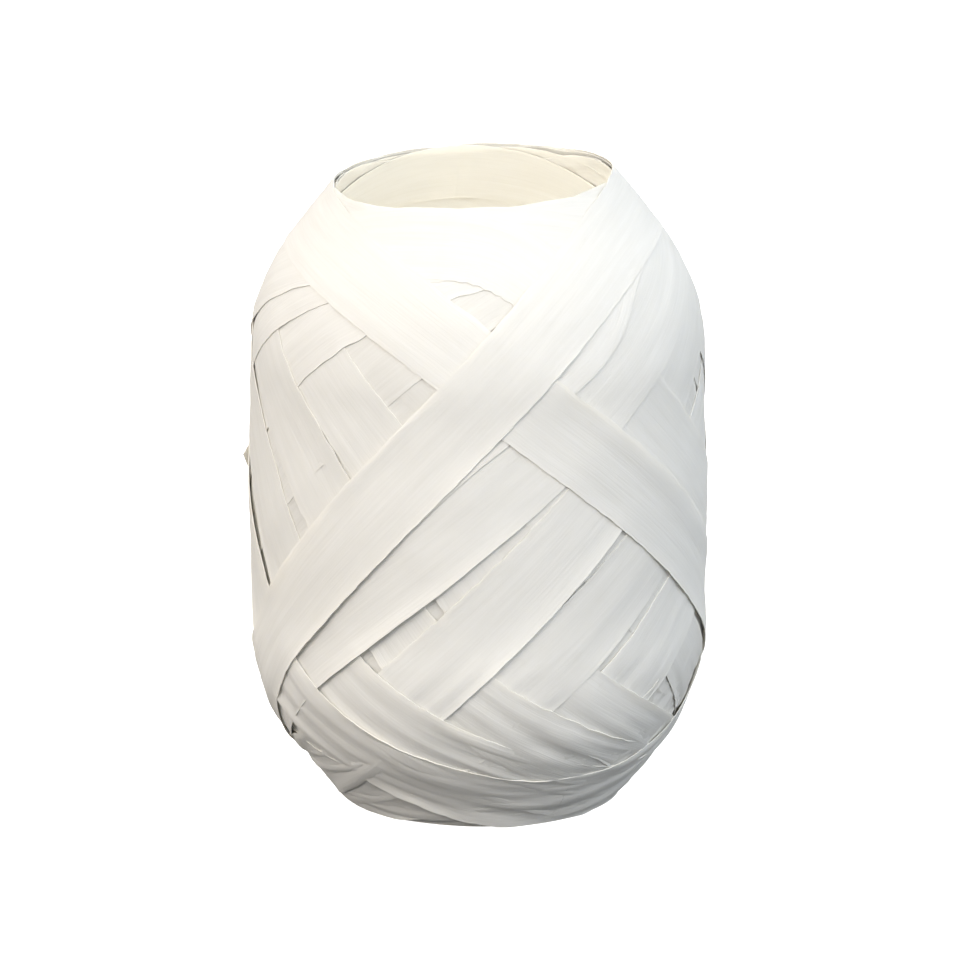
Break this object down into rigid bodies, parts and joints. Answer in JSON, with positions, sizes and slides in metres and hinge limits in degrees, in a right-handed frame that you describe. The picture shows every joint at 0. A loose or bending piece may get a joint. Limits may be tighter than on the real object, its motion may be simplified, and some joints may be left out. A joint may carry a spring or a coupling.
{
  "type": "tying ribbon cocoon",
  "caption": "Hollow, coreless cocoon of flat white tying ribbon, cross-wound in a barrel shape, standing on one of its two open mouths.",
  "frame": {"origin": "centre of the lower mouth, on the surface that the cocoon stands on", "axes": "+Z along the axis of the hollow, upwards; -Y towards the side with the crossing of the two newest passes; +X to the right of that side"},
  "size_m": [0.0589, 0.0583, 0.0825],
  "materials": {
    "ribbon": "matte, slightly translucent, fine lengthwise fibres",
    "ribbon_inside": "matte, warm in the shade of the hollow"
  },
  "bodies": {
    "winding": {"packed_turns_top": "ribbon_inside", "packed_turns_belly": "ribbon_inside", "packed_turns_bottom": "ribbon_inside", "wrap_01": "ribbon", "wrap_02": "ribbon", "wrap_03": "ribbon", "wrap_04": "ribbon", "wrap_05": "ribbon", "wrap_06": "ribbon", "wrap_07": "ribbon", "wrap_08": "ribbon", "wrap_09": "ribbon", "wrap_10": "ribbon", "wrap_11": "ribbon", "wrap_12": "ribbon", "wrap_13": "ribbon", "wrap_14": "ribbon", "wrap_15": "ribbon", "wrap_16": "ribbon", "wrap_17": "ribbon", "wrap_18": "ribbon", "inner_end": "ribbon_inside"},
    "loose_end": {"outer_end": "ribbon"}
  },
  "joints": [
    {"name": "end_peel", "type": "hinge", "parent": "winding", "child": "loose_end", "pos_m": [-0.01716, 0.02387, 0.06075], "axis": [0.5184, 0.4556, -0.7236], "range_deg": [0, 110], "stiffness_Nm_per_rad": 0.00015}
  ]
}
